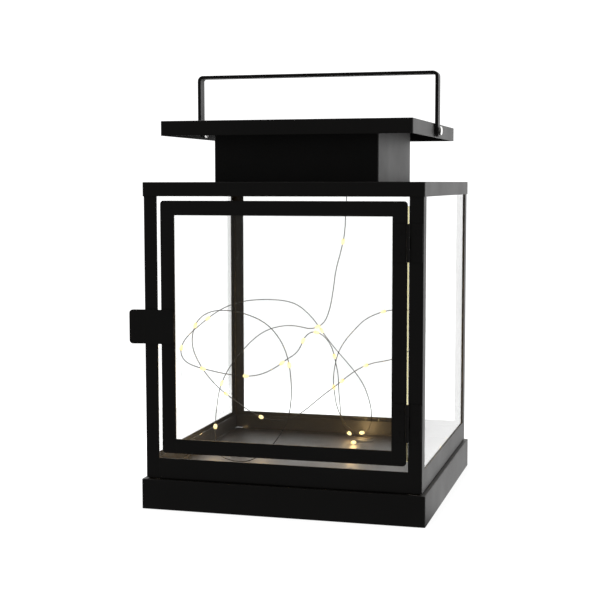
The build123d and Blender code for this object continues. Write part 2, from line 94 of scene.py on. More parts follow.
# %% Wire route and curve
WIRE_DIAMETER = 0.6 * MM
WIRE_BEVEL_STEPS = 3        # more steps make the wire rounder
WIRE_CURVE_STEPS = 8        # more steps make its line smoother
WIRE_ORDER = 3              # how many points of the route pull at each stretch of the line
WIRE_ROUTE = [
    (22, 0, 245), (22, 1, 236), (23, 0, 219), (22, 1, 203), (22, -1, 190), (19, 0, 177),
    (14, 3, 162), (12, 4, 147), (10, 2, 133), (6, 0, 122), (-3, -3, 118), (-13, -1, 120),
    (-25, 3, 120), (-40, 10, 116), (-52, 16, 109), (-63, 20, 99), (-72, 19, 88), (-77, 14, 78),
    (-80, 9, 67), (-80, 4, 55), (-79, -2, 48), (-76, -12, 36), (-69, -26, 24), (-55, -37, 23),
    (-41, -43, 24), (-28, -43, 31), (-16, -44, 44), (-8, -47, 59), (-5, -50, 75), (-5, -52, 91),
    (-7, -54, 105), (-11, -55, 115), (-18, -55, 124), (-27, -54, 130), (-39, -53, 134),
    (-52, -52, 136), (-65, -51, 135), (-75, -50, 129), (-80, -49, 119), (-81, -47, 107),
    (-77, -43, 95), (-72, -38, 85), (-66, -30, 75), (-60, -18, 66), (-55, -4, 57), (-50, 8, 50),
    (-44, 16, 45), (-29, 24, 43), (-15, 22, 52), (0, 17, 65), (12, 12, 74), (23, 6, 83),
    (33, 1, 90), (44, -5, 95), (56, -13, 98), (67, -20, 102), (77, -22, 109), (83, -12, 119),
    (81, 4, 127), (73, 17, 131), (61, 24, 132), (50, 27, 131), (40, 30, 128), (30, 31, 123),
    (22, 32, 115), (14, 33, 106), (8, 35, 96), (5, 37, 85), (3, 40, 74), (3, 45, 62), (3, 52, 51),
    (5, 61, 40), (8, 71, 31), (13, 79, 25), (21, 82, 26), (25, 80, 35), (26, 75, 46), (25, 68, 57),
    (23, 60, 68), (18, 52, 79), (12, 44, 89), (7, 35, 98), (1, 26, 109), (-4, 18, 120),
    (-9, 10, 129), (-16, 4, 136), (-24, -1, 139), (-34, -6, 140), (-44, -11, 140), (-53, -16, 139),
    (-62, -22, 136), (-70, -29, 131), (-77, -38, 124), (-82, -48, 118), (-85, -56, 112),
    (-85, -61, 105), (-81, -62, 99), (-74, -58, 95), (-66, -52, 92), (-57, -46, 89), (-48, -40, 87),
    (-39, -34, 86), (-31, -28, 88), (-24, -22, 92), (-18, -17, 97), (-12, -12, 101), (-9, -9, 107),
    (-7, -7, 113), (-2, -5, 117), (4, -1, 115), (8, 5, 109), (10, 12, 101), (10, 20, 91),
    (10, 29, 79), (8, 38, 66), (7, 47, 53), (6, 54, 41), (8, 60, 31), (13, 67, 25), (21, 72, 24),
    (29, 69, 24), (31, 60, 23), (25, 52, 24), (17, 48, 24)]


def add_wire():
    """One open NURBS spline led by the route's points, with a round bevel. The wire's radius is
    given at each point, over a bevel of one metre, because the bounding box of a curve counts that
    radius."""
    data = bpy.data.curves.new("led_wire_curve", "CURVE")
    data.dimensions = "3D"
    data.bevel_depth = 1.0
    data.bevel_resolution = WIRE_BEVEL_STEPS
    data.resolution_u = WIRE_CURVE_STEPS
    data.use_fill_caps = True
    spline = data.splines.new("NURBS")
    spline.points.add(len(WIRE_ROUTE) - 1)
    for point, place in zip(spline.points, WIRE_ROUTE):
        point.co = (place[0] * MM, place[1] * MM, place[2] * MM, 1.0)
        point.radius = WIRE_DIAMETER / 2
    spline.order_u = WIRE_ORDER
    spline.use_endpoint_u = True
    wire = bpy.data.objects.new("led_wire_strand", data)
    bpy.context.scene.collection.objects.link(wire)
    return wire


def centreline_of(curve):
    """The points of a curve's own line, read from a copy of it that has no bevel."""
    bare = curve.data.copy()
    bare.bevel_depth = 0.0
    probe = bpy.data.objects.new("probe", bare)
    bpy.context.scene.collection.objects.link(probe)
    bpy.context.view_layer.update()
    evaluated = probe.evaluated_get(bpy.context.evaluated_depsgraph_get())
    mesh = bpy.data.meshes.new_from_object(evaluated)
    line = np.empty(3 * len(mesh.vertices))
    mesh.vertices.foreach_get("co", line)
    bpy.data.meshes.remove(mesh)
    bpy.data.objects.remove(probe)
    bpy.data.curves.remove(bare)
    return line.reshape(-1, 3)


wire = add_wire()
wire_line = centreline_of(wire)
wire_length = float(np.linalg.norm(np.diff(wire_line, axis=0), axis=1).sum())
print("wire length in m:", round(wire_length, 3))

# %% [markdown]
# ## The resin drops
#
# Every few centimetres the wire carries a light chip under a drop of clear resin. Each drop is
# longer along the wire than across it. All drops are one mesh: a grid of angles gives the drop's
# surface, and each copy is turned to its own stretch of wire. A number kept on every vertex says
# how near it is to the chip, so the material can glow in the middle and stay clear at the tips.

# %% Resin drops
BEAD_RUNS = (4, 9, 17, 20, 29, 37, 42, 45, 50, 52, 56, 61, 68, 73, 82, 91, 94, 97, 100, 103, 106,
             108, 111, 117)
DROP_LENGTH = 4.4 * MM
DROP_WIDTH = 2.9 * MM
DROP_RINGS, DROP_SPOKES = 12, 14
DROP_PLUMPNESS = 0.8        # 1 is an ellipse, less is plumper
END_DROP_BACK = 0.6 * MM    # how far the last drop sits back from the wire's end


def drop_profile():
    """Rings from tip to tip: the radius is half the width times sin(angle) to the power of the
    plumpness, and the place along the wire is half the length times -cos(angle)."""
    angle = np.linspace(0.0, math.pi, DROP_RINGS)[1:-1]
    along = -np.cos(angle) * DROP_LENGTH / 2
    radius = np.sin(angle) ** DROP_PLUMPNESS * DROP_WIDTH / 2
    return along, radius


def unit_drop():
    """Vertices, faces and glow values of one drop that lies along Z. Glow falls with the square of
    the distance from the middle."""
    along, radius = drop_profile()
    turn = np.arange(DROP_SPOKES) * 2 * math.pi / DROP_SPOKES
    ring = np.stack([np.cos(turn), np.sin(turn)], axis=1)
    across = radius[:, None, None] * ring[None]
    height = np.repeat(along, DROP_SPOKES).reshape(len(along), DROP_SPOKES, 1)
    body = np.concatenate([across, height], axis=2).reshape(-1, 3)
    tips = np.array([[0, 0, -DROP_LENGTH / 2], [0, 0, DROP_LENGTH / 2]])
    vertices = np.concatenate([body, tips])
    row = np.arange(len(along) - 1)[:, None] * DROP_SPOKES
    here = np.arange(DROP_SPOKES)[None, :]
    after = (here + 1) % DROP_SPOKES
    corners = [row + here, row + after, row + after + DROP_SPOKES, row + here + DROP_SPOKES]
    quads = np.stack(corners, axis=2)
    low_tip, high_tip = len(body), len(body) + 1
    last = (len(along) - 1) * DROP_SPOKES
    fan_low = [(low_tip, int(b), int(a)) for a, b in zip(here[0], after[0])]
    fan_high = [(high_tip, int(last + a), int(last + b)) for a, b in zip(here[0], after[0])]
    faces = [tuple(map(int, quad)) for quad in quads.reshape(-1, 4)] + fan_low + fan_high
    glow = np.clip(1.0 - (vertices[:, 2] / (DROP_LENGTH / 2)) ** 2, 0.0, 1.0)
    return vertices, faces, glow


def drop_places():
    """The middle of each chosen run, where the curve touches its route, and a place at the wire's
    end."""
    route = np.array(WIRE_ROUTE, dtype=float) * MM
    runs = np.array(BEAD_RUNS)
    middles = (route[runs] + route[runs + 1]) / 2
    ways = route[runs + 1] - route[runs]
    end_way = route[-1] - route[-2]
    end_place = route[-1] - end_way / np.linalg.norm(end_way) * END_DROP_BACK
    middles = np.concatenate([middles, [end_place]])
    ways = np.concatenate([ways, [end_way]])
    return middles, ways / np.linalg.norm(ways, axis=1)[:, None]


def add_drops():
    """All the drops in one mesh, each turned so that its Z axis follows the wire."""
    vertices, faces, glow = unit_drop()
    middles, ways = drop_places()
    all_vertices, all_faces = [], []
    for number, (middle, way) in enumerate(zip(middles, ways)):
        turn = np.array(Vector(way).to_track_quat("Z", "Y").to_matrix())
        all_vertices.append(vertices @ turn.T + middle)
        offset = number * len(vertices)
        all_faces.extend(tuple(index + offset for index in face) for face in faces)
    mesh = bpy.data.meshes.new("led_drops_mesh")
    mesh.from_pydata(np.concatenate(all_vertices).tolist(), [], all_faces)
    attribute = mesh.attributes.new("glow", "FLOAT", "POINT")
    attribute.data.foreach_set("value", np.tile(glow, len(middles)).astype(np.float32))
    mesh.shade_smooth()
    drops = bpy.data.objects.new("led_drops", mesh)
    bpy.context.scene.collection.objects.link(drops)
    return drops, middles


drops, drop_middles = add_drops()
print("drops:", len(drop_middles), "faces:", len(drops.data.polygons))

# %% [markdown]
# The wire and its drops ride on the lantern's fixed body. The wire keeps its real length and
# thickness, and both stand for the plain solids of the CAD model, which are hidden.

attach(wire, WORLD_ROOT)
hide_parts("led_wire")
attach(drops, WORLD_ROOT)
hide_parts("led_beads")

# %% [markdown]
# ## Shared finishes
#
# Several finishes need the same three effects: a fine grain that breaks up a highlight, a patina
# that changes a colour in patches and along edges, and dust on faces that point up. Each is a node
# group with its own inputs, built once and used with different values. A group puts out only
# colours, values and normals; the shader itself stays in each material.

# %% Node helpers
# A Mix node has sockets for every kind of value, and many share a name, so they go by number.
MIX_SHARE = 0                   # how much of the second value is taken
COLOUR_FIRST, COLOUR_SECOND, COLOUR_MIXED = 6, 7, 2
VALUE_FIRST, VALUE_SECOND, VALUE_MIXED = 2, 3, 0
SHADER_FIRST, SHADER_SECOND = 1, 2

# The kinds of socket that a group can have.
VALUE, COLOUR, VECTOR = "NodeSocketFloat", "NodeSocketColor", "NodeSocketVector"


def add_node(tree, kind, plain=None, **settings):
    """A new node with its settings, and the plain values of those inputs that nothing is linked
    to."""
    node = tree.nodes.new(kind)
    for name, value in settings.items():
        setattr(node, name, value)
    for name, value in (plain or {}).items():
        node.inputs[name].default_value = value
    return node


def new_group(name, inputs, outputs):
    """An empty shader node group. Both inputs and outputs pair each socket's name with its kind."""
    group = bpy.data.node_groups.new(name, "ShaderNodeTree")
    for in_out, sockets in (("INPUT", inputs), ("OUTPUT", outputs)):
        for label, kind in sockets.items():
            group.interface.new_socket(label, in_out=in_out, socket_type=kind)
    return group, group.nodes.new("NodeGroupInput"), group.nodes.new("NodeGroupOutput")


print("node helpers ready")

# %% [markdown]
# Powder coat isn't mirror smooth: it has a fine orange-peel grain, and it draws back a little from
# sharp edges. The grain could be modelled, but it is far too small, so noise tilts the surface's
# normal instead. A Bevel node rounds the normal at edges, and the angle between the two normals
# tells where an edge is.

# %% Grain group
EDGE_RADIUS = 0.35 * MM     # how far a folded or cut edge is rounded by its coat
EDGE_SAMPLES = 8
GRAIN_DEPTH = 0.08 * MM
GRAIN_DETAIL = 3.0
DRIFT_SCALE = 35.0          # size of the patches in which the roughness drifts
RUBBED_FROM, RUBBED_TO = 0.998, 0.90    # cosine where wear starts, and is full
NOISE_MIDDLE = 0.5          # noise runs from 0 to 1, so this centres it


def make_grain_group():
    """Fine grain: noise at the input scale makes a bump on top of a normal that is rounded at the
    edges. The edge mask grows as the cosine between the rounded and the plain normal falls, and
    noise breaks it up."""
    inputs = {"Scale": VALUE, "Height": VALUE, "Roughness": VALUE, "Spread": VALUE}
    outputs = {"Normal": VECTOR, "Roughness": VALUE, "Edge": VALUE}
    group, start, end = new_group("fine_grain", inputs, outputs)
    place = add_node(group, "ShaderNodeTexCoord")
    noise = add_node(group, "ShaderNodeTexNoise", {"Detail": GRAIN_DETAIL})
    rounded = add_node(group, "ShaderNodeBevel", {"Radius": EDGE_RADIUS}, samples=EDGE_SAMPLES)
    plain = add_node(group, "ShaderNodeNewGeometry")
    cosine = add_node(group, "ShaderNodeVectorMath", operation="DOT_PRODUCT")
    rubbed = add_node(group, "ShaderNodeMapRange", {"From Min": RUBBED_FROM, "From Max": RUBBED_TO})
    worn = add_node(group, "ShaderNodeMath", operation="MULTIPLY")
    bump = add_node(group, "ShaderNodeBump", {"Distance": GRAIN_DEPTH})
    patch = add_node(group, "ShaderNodeTexNoise", {"Scale": DRIFT_SCALE})
    centred = add_node(group, "ShaderNodeMath", {1: NOISE_MIDDLE}, operation="SUBTRACT")
    spread = add_node(group, "ShaderNodeMath", operation="MULTIPLY_ADD")
    link = group.links.new
    link(place.outputs["Object"], noise.inputs["Vector"])
    link(start.outputs["Scale"], noise.inputs["Scale"])
    link(rounded.outputs["Normal"], bump.inputs["Normal"])
    link(rounded.outputs["Normal"], cosine.inputs[0])
    link(plain.outputs["Normal"], cosine.inputs[1])
    link(cosine.outputs["Value"], rubbed.inputs["Value"])
    link(rubbed.outputs["Result"], worn.inputs[0])
    link(patch.outputs["Fac"], worn.inputs[1])
    link(noise.outputs["Fac"], bump.inputs["Height"])
    link(start.outputs["Height"], bump.inputs["Strength"])
    link(place.outputs["Object"], patch.inputs["Vector"])
    link(patch.outputs["Fac"], centred.inputs[0])
    link(centred.outputs[0], spread.inputs[0])
    link(start.outputs["Spread"], spread.inputs[1])
    link(start.outputs["Roughness"], spread.inputs[2])
    link(bump.outputs["Normal"], end.inputs["Normal"])
    link(spread.outputs[0], end.inputs["Roughness"])
    link(worn.outputs[0], end.inputs["Edge"])
    return group


grain_group = make_grain_group()
print("made", grain_group.name)

# %% [markdown]
# No coat has one even colour. Two layers of noise, one in patches and one in specks, are
# multiplied, so that the second colour shows only where both are high. The edge mask of the grain
# group is added to it.

# %% Patina group
PATCH_DETAIL, SPECK_DETAIL = 4.0, 2.0
SPECK_SCALE = 1800.0        # the same in every finish
PATINA_FROM, PATINA_TO = 0.2, 0.42  # the noises' product where it starts to show, and is full


def make_patina_group():
    """A base colour that turns towards a second one in soft patches and fine specks."""
    inputs = {"Base": COLOUR, "Second": COLOUR, "Amount": VALUE, "Patch Scale": VALUE,
              "Edge": VALUE}
    group, start, end = new_group("patina", inputs, {"Color": COLOUR})
    place = add_node(group, "ShaderNodeTexCoord")
    patch = add_node(group, "ShaderNodeTexNoise", {"Detail": PATCH_DETAIL})
    speck = add_node(group, "ShaderNodeTexNoise", {"Scale": SPECK_SCALE, "Detail": SPECK_DETAIL})
    both = add_node(group, "ShaderNodeMath", operation="MULTIPLY")
    ramp = add_node(group, "ShaderNodeMapRange", {"From Min": PATINA_FROM, "From Max": PATINA_TO})
    amount = add_node(group, "ShaderNodeMath", operation="MULTIPLY")
    total = add_node(group, "ShaderNodeMath", operation="ADD", use_clamp=True)
    mix = add_node(group, "ShaderNodeMix", data_type="RGBA")
    link = group.links.new
    link(place.outputs["Object"], patch.inputs["Vector"])
    link(place.outputs["Object"], speck.inputs["Vector"])
    link(start.outputs["Patch Scale"], patch.inputs["Scale"])
    link(patch.outputs["Fac"], both.inputs[0])
    link(speck.outputs["Fac"], both.inputs[1])
    link(both.outputs[0], ramp.inputs["Value"])
    link(ramp.outputs["Result"], amount.inputs[0])
    link(start.outputs["Amount"], amount.inputs[1])
    link(amount.outputs[0], total.inputs[0])
    link(start.outputs["Edge"], total.inputs[1])
    link(total.outputs[0], mix.inputs[MIX_SHARE])
    link(start.outputs["Base"], mix.inputs[COLOUR_FIRST])
    link(start.outputs["Second"], mix.inputs[COLOUR_SECOND])
    link(mix.outputs[COLOUR_MIXED], end.inputs["Color"])
    return group


patina_group = make_patina_group()
print("made", patina_group.name)

# %% [markdown]
# Dust lies only where it can rest. It could be painted by hand, but the direction of the surface
# already says where up is: the closer the normal is to straight up, the more dust shows.

# %% Dust group
DUST_COLOUR = (0.17, 0.155, 0.13, 1)
DUST_TILT = 0.75            # upward part of the normal where dust begins to lie
CLOUD_SCALE, CLOUD_DETAIL = 22.0, 6.0
MOTE_SCALE = 900.0


def make_dust_group():
    """Dust that settles on faces that point up: the upward part of the object's own normal, times
    two layers of noise, mixes the incoming colour towards a pale grey brown."""
    inputs = {"Color": COLOUR, "Amount": VALUE}
    group, start, end = new_group("settled_dust", inputs, {"Color": COLOUR})
    place = add_node(group, "ShaderNodeTexCoord")
    split = add_node(group, "ShaderNodeSeparateXYZ")
    upward = add_node(group, "ShaderNodeMapRange", {"From Min": DUST_TILT})
    cloud = add_node(group, "ShaderNodeTexNoise", {"Scale": CLOUD_SCALE, "Detail": CLOUD_DETAIL})
    mote = add_node(group, "ShaderNodeTexNoise", {"Scale": MOTE_SCALE})
    layers = add_node(group, "ShaderNodeMath", operation="MULTIPLY")
    facing = add_node(group, "ShaderNodeMath", operation="MULTIPLY")
    amount = add_node(group, "ShaderNodeMath", operation="MULTIPLY")
    mix = add_node(group, "ShaderNodeMix", {COLOUR_SECOND: DUST_COLOUR}, data_type="RGBA")
    link = group.links.new
    link(place.outputs["Normal"], split.inputs["Vector"])
    link(split.outputs["Z"], upward.inputs["Value"])
    link(place.outputs["Object"], cloud.inputs["Vector"])
    link(place.outputs["Object"], mote.inputs["Vector"])
    link(cloud.outputs["Fac"], layers.inputs[0])
    link(mote.outputs["Fac"], layers.inputs[1])
    link(layers.outputs[0], facing.inputs[0])
    link(upward.outputs["Result"], facing.inputs[1])
    link(facing.outputs[0], amount.inputs[0])
    link(start.outputs["Amount"], amount.inputs[1])
    link(amount.outputs[0], mix.inputs[MIX_SHARE])
    link(start.outputs["Color"], mix.inputs[COLOUR_FIRST])
    link(mix.outputs[COLOUR_MIXED], end.inputs["Color"])
    return group


dust_group = make_dust_group()
print("groups:", [group.name for group in bpy.data.node_groups])

# %% [markdown]
# A finish joins the groups to a shader. Anything that is the same all over a surface, such as how
# metallic it is, is typed straight into the shader's socket, so only what varies arrives through a
# link.

# %% Finish maker
PATCH_SCALE = 40.0          # size of the patina's patches, unless a finish asks for another


def put_group(material, group, values):
    """A shared group in a material's tree, with this material's own values."""
    return add_node(material.node_tree, "ShaderNodeGroup", values, node_tree=group)


def new_material(name, **sockets):
    """A material whose Principled shader takes the given plain values."""
    material = bpy.data.materials.new(name)
    material.use_nodes = True
    shader = material.node_tree.nodes["Principled BSDF"]
    for label, value in sockets.items():
        shader.inputs[label.replace("_", " ")].default_value = value
    return material, shader


def make_finish(name, base, second, amount, roughness, spread, grain, height,
                patch=PATCH_SCALE, dust=0.0, **sockets):
    """An opaque finish: patina and any dust for its colour, grain for its normal and roughness."""
    material, shader = new_material(name, **sockets)
    link = material.node_tree.links.new
    colour = put_group(material, patina_group, {"Base": (*base, 1), "Second": (*second, 1),
                                                "Amount": amount, "Patch Scale": patch})
    surface = put_group(material, grain_group, {"Scale": grain, "Height": height,
                                                "Roughness": roughness, "Spread": spread})
    link(surface.outputs["Edge"], colour.inputs["Edge"])
    if dust:
        settled = put_group(material, dust_group, {"Amount": dust})
        link(colour.outputs["Color"], settled.inputs["Color"])
        link(settled.outputs["Color"], shader.inputs["Base Color"])
    else:
        link(colour.outputs["Color"], shader.inputs["Base Color"])
    link(surface.outputs["Normal"], shader.inputs["Normal"])
    link(surface.outputs["Roughness"], shader.inputs["Roughness"])
    return material


print("finish maker ready")

# %% [markdown]
# ## Black powder coat
#
# Nearly everything metal on the lantern has the same finish: a satin black powder coat, which is
# baked plastic on steel. It is almost black when seen square on and turns grey at a glancing angle,
# with a fine orange-peel grain. The floor plate inside is the same steel, but its coat is browner,
# patchier and a little glossier, with a stronger grain and less dust.

# %% Metal and plastic finishes
powder_black = make_finish("powder_black", (0.0105, 0.0093, 0.0082), (0.024, 0.021, 0.018), 0.35,
                           roughness=0.53, spread=0.14, grain=1000.0, height=0.6, dust=0.22)
floor_black = make_finish("floor_black", (0.010, 0.0075, 0.005), (0.034, 0.026, 0.016), 0.8,
                          roughness=0.42, spread=0.2, grain=1000.0, height=1.0, patch=60.0,
                          dust=0.10)
nickel = make_finish("nickel", (0.90, 0.89, 0.87), (0.70, 0.69, 0.67), 0.4,
                     roughness=0.22, spread=0.12, grain=3000.0, height=0.1, Metallic=1.0)
wire_silver = make_finish("wire_silver", (0.030, 0.028, 0.024), (0.15, 0.135, 0.10), 0.5,
                          roughness=0.3, spread=0.15, grain=4000.0, height=0.3, Metallic=1.0)
plastic_black = make_finish("plastic_black", (0.012, 0.012, 0.013), (0.03, 0.03, 0.03), 0.4,
                            roughness=0.5, spread=0.15, grain=1800.0, height=0.5)
plastic_white = make_finish("plastic_white", (0.55, 0.55, 0.53), (0.35, 0.34, 0.32), 0.4,
                            roughness=0.45, spread=0.15, grain=1800.0, height=0.4)
print("finishes made:", len(bpy.data.materials))

# %% [markdown]
# ## Clear glass
#
# The panes are 2 mm float glass. Glass is hardly ever perfectly clean, so faint smears change its
# roughness a little. A pane's cut edge gathers the warm light of the drops and shows as a pale
# yellow line in the narrow gap between the door and its post; this glow is painted into the colour
# of the door's pane. The painted glow therefore depends on how far to the right a point of the
# door's pane lies: only the last 0.9 mm, on the hinge side, is tinted.

# %% Glass
GLASS_CLEAR = (0.985, 0.992, 0.988, 1)
# painted glow: the warm light that the door pane's cut edge gathers from the drops
PAINTED_EDGE_GLOW = (0.78, 0.70, 0.34, 1)
GLASS_IOR = 1.5
GLASS_GLOSS = 0.35          # below the usual 0.5, for a fainter reflection
DOOR_PANE_EDGE = 86.5 * MM  # where the tint starts; the pane ends at 87.4 mm
EDGE_BLEND = 0.1 * MM       # over which the tint sets in
SMEAR_SCALE, SMEAR_DETAIL = 28.0, 4.0
SMEAR_LOW, SMEAR_HIGH = 0.0, 0.03


def add_smears(material, shader):
    """Roughness that drifts between two values in soft patches."""
    tree = material.node_tree
    place = add_node(tree, "ShaderNodeTexCoord")
    smear = add_node(tree, "ShaderNodeTexNoise", {"Scale": SMEAR_SCALE, "Detail": SMEAR_DETAIL})
    spread = add_node(tree, "ShaderNodeMapRange", {"To Min": SMEAR_LOW, "To Max": SMEAR_HIGH})
    tree.links.new(place.outputs["Object"], smear.inputs["Vector"])
    tree.links.new(smear.outputs["Fac"], spread.inputs["Value"])
    tree.links.new(spread.outputs["Result"], shader.inputs["Roughness"])
    return place


def let_light_through(material, shader):
    """Shadow rays pass the pane, so that lamps light what is behind it."""
    tree = material.node_tree
    end = tree.nodes["Material Output"]
    path = add_node(tree, "ShaderNodeLightPath")
    clear = add_node(tree, "ShaderNodeBsdfTransparent")
    choice = add_node(tree, "ShaderNodeMixShader")
    tree.links.new(path.outputs["Is Shadow Ray"], choice.inputs["Fac"])
    tree.links.new(shader.outputs["BSDF"], choice.inputs[SHADER_FIRST])
    tree.links.new(clear.outputs["BSDF"], choice.inputs[SHADER_SECOND])
    tree.links.new(choice.outputs["Shader"], end.inputs["Surface"])


def paint_edge_glow(material, shader, place, edge_from):
    """Painted glow: turns the colour yellow where the distance along X passes edge_from."""
    tree = material.node_tree
    split = add_node(tree, "ShaderNodeSeparateXYZ")
    edge = add_node(tree, "ShaderNodeMapRange",
                    {"From Min": edge_from, "From Max": edge_from + EDGE_BLEND})
    mix = add_node(tree, "ShaderNodeMix", {COLOUR_FIRST: GLASS_CLEAR, COLOUR_SECOND: PAINTED_EDGE_GLOW},
                   data_type="RGBA")
    tree.links.new(place.outputs["Object"], split.inputs["Vector"])
    tree.links.new(split.outputs["X"], edge.inputs["Value"])
    tree.links.new(edge.outputs["Result"], mix.inputs[MIX_SHARE])
    tree.links.new(mix.outputs[COLOUR_MIXED], shader.inputs["Base Color"])


def make_glass(name, edge_from=None):
    """Clear glass with faint smears. Its colour is plain, unless an edge with painted glow is asked
    for.
    """
    material, shader = new_material(name, Base_Color=GLASS_CLEAR, Transmission_Weight=1.0,
                                    IOR=GLASS_IOR, Specular_IOR_Level=GLASS_GLOSS)
    place = add_smears(material, shader)
    if edge_from is not None:
        paint_edge_glow(material, shader, place, edge_from)
    let_light_through(material, shader)
    return material


pane_glass = make_glass("pane_glass")
# the door's pane carries a painted glow along its hinge-side edge
door_glass = make_glass("door_pane_glass_painted_glow", DOOR_PANE_EDGE)
print("made", pane_glass.name, "and", door_glass.name)

# %% [markdown]
# ## Glowing resin
#
# A drop is brightest over its chip and paler at its tips. A flat glow would look like paint, so the
# number that each vertex carries mixes two colours, both for the glow and for the resin itself.

# %% Resin
RESIN_GLOW = 1.25
RESIN_ROUGHNESS, RESIN_SPREAD = 0.12, 0.1
RESIN_GRAIN, RESIN_HEIGHT = 1200.0, 0.4
GLOW_TIP, GLOW_MIDDLE = (0.80, 0.64, 0.26, 1), (1.0, 0.90, 0.50, 1)
BODY_TIP, BODY_MIDDLE = (0.55, 0.47, 0.24, 1), (0.62, 0.52, 0.22, 1)


def make_resin():
    """Warm resin drops: the glow attribute mixes a bright middle into paler tips."""
    material, shader = new_material("led_resin_warm", Emission_Strength=RESIN_GLOW)
    tree = material.node_tree
    glow = add_node(tree, "ShaderNodeAttribute", attribute_name="glow")
    light = add_node(tree, "ShaderNodeMix", {COLOUR_FIRST: GLOW_TIP, COLOUR_SECOND: GLOW_MIDDLE},
                     data_type="RGBA")
    body = add_node(tree, "ShaderNodeMix", {COLOUR_FIRST: BODY_TIP, COLOUR_SECOND: BODY_MIDDLE},
                    data_type="RGBA")
    for mix in (light, body):
        tree.links.new(glow.outputs["Fac"], mix.inputs[MIX_SHARE])
    tree.links.new(light.outputs[COLOUR_MIXED], shader.inputs["Emission Color"])
    tree.links.new(body.outputs[COLOUR_MIXED], shader.inputs["Base Color"])
    grain = put_group(material, grain_group, {"Scale": RESIN_GRAIN, "Height": RESIN_HEIGHT,
                                              "Roughness": RESIN_ROUGHNESS, "Spread": RESIN_SPREAD})
    tree.links.new(grain.outputs["Normal"], shader.inputs["Normal"])
    tree.links.new(grain.outputs["Roughness"], shader.inputs["Roughness"])
    return material


led_resin = make_resin()
print("made", led_resin.name)

# %% [markdown]
# ## The solar module
#
# On top sits a dark panel of eight narrow cells under a clear cover. Each cell carries thin silver
# fingers across it. The lines are worked out from the position itself: the remainder of x divided
# by the spacing is small only along a line.

# %% Solar cells
FINGER_SPACING = 1.9 * MM
FINGER_SHARE = 0.09         # how much of the spacing a line fills
FINGER_COLOUR = (0.48, 0.49, 0.50, 1)
CELL_DARK, CELL_LIGHT = (0.006, 0.012, 0.040, 1), (0.014, 0.028, 0.085, 1)
CELL_SMOOTH, CELL_ROUGH = 0.22, 0.42
CRYSTAL_SCALE = 320.0
COVER_COAT = 0.6


def make_cells():
    """Blue crystals from a Voronoi pattern, with silver lines where the remainder of x is small."""
    material, shader = new_material("solar_cell_blue", Coat_Weight=COVER_COAT)
    tree = material.node_tree
    place = add_node(tree, "ShaderNodeTexCoord")
    split = add_node(tree, "ShaderNodeSeparateXYZ")
    turns = add_node(tree, "ShaderNodeMath", {1: FINGER_SPACING}, operation="DIVIDE")
    part = add_node(tree, "ShaderNodeMath", operation="FRACT")
    line = add_node(tree, "ShaderNodeMath", {1: FINGER_SHARE}, operation="LESS_THAN")
    crystal = add_node(tree, "ShaderNodeTexVoronoi", {"Scale": CRYSTAL_SCALE})
    tone = add_node(tree, "ShaderNodeMix", {COLOUR_FIRST: CELL_DARK, COLOUR_SECOND: CELL_LIGHT},
                    data_type="RGBA")
    mix = add_node(tree, "ShaderNodeMix", {COLOUR_SECOND: FINGER_COLOUR}, data_type="RGBA")
    rough = add_node(tree, "ShaderNodeMapRange", {"To Min": CELL_SMOOTH, "To Max": CELL_ROUGH})
    link = tree.links.new
    link(place.outputs["Object"], split.inputs["Vector"])
    link(split.outputs["X"], turns.inputs[0])
    link(turns.outputs[0], part.inputs[0])
    link(part.outputs[0], line.inputs[0])
    link(place.outputs["Object"], crystal.inputs["Vector"])
    link(crystal.outputs["Distance"], tone.inputs[MIX_SHARE])
    link(tone.outputs[COLOUR_MIXED], mix.inputs[COLOUR_FIRST])
    link(line.outputs[0], mix.inputs[MIX_SHARE])
    link(mix.outputs[COLOUR_MIXED], shader.inputs["Base Color"])
    link(crystal.outputs["Distance"], rough.inputs["Value"])
    link(rough.outputs["Result"], shader.inputs["Roughness"])
    return material


solar_cells = make_cells()
panel_cover = make_glass("panel_cover_clear")
print("made", solar_cells.name, "and", panel_cover.name)

# %% [markdown]
# Under the panel sit a green circuit board, its black components and a battery in a coloured
# sleeve. They are hardly ever seen, so the finish maker with other values is enough.

# %% Electronic finishes
circuit_green = make_finish("circuit_green", (0.010, 0.085, 0.030), (0.03, 0.16, 0.06), 0.9,
                            roughness=0.35, spread=0.2, grain=900.0, height=0.5, patch=160.0)
component_black = make_finish("component_black", (0.018, 0.018, 0.02), (0.07, 0.07, 0.07), 0.4,
                              roughness=0.5, spread=0.15, grain=1600.0, height=0.5)
battery_sleeve = make_finish("battery_sleeve", (0.02, 0.14, 0.10), (0.06, 0.26, 0.19), 0.5,
                             roughness=0.32, spread=0.12, grain=700.0, height=0.2)
print("finishes made:", len(bpy.data.materials))

# %% [markdown]
# ## Dress the model
#
# Each CAD part keeps its mesh and only takes a finish. Listing the few exceptions is shorter than
# listing all the black steel, so everything that isn't an exception is powder coated.

# %% Give every part its finish
FINISH_OF = {
    "floor_plate": floor_black, "glass_left": pane_glass, "glass_right": pane_glass,
    "glass_back": pane_glass, "door_glass": door_glass, "module_housing": plastic_black,
    "battery_cover": plastic_black,
    "switch_case": plastic_black, "wire_gland": plastic_black, "switch_knob": plastic_white,
    "solar_cover": panel_cover, "solar_cells": solar_cells, "solar_board": circuit_green,
    "circuit_board": circuit_green, "board_components": component_black, "battery": battery_sleeve,
    "battery_contacts": nickel, "battery_cover_screws": nickel, "handle_screws": nickel,
    "handle_nuts": nickel, "led_wire": wire_silver, "led_beads": led_resin}


def give_finish(piece, material):
    """Puts one material in every slot of a piece, or in a first slot if it has none."""
    if piece.material_slots:
        for slot in piece.material_slots:
            slot.material = material
    else:
        piece.data.materials.append(material)


for name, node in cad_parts.items():
    give_finish(node, FINISH_OF.get(name, powder_black))
give_finish(wire, wire_silver)
give_finish(drops, led_resin)
print("dressed", len(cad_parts), "parts; by exception:", len(FINISH_OF))

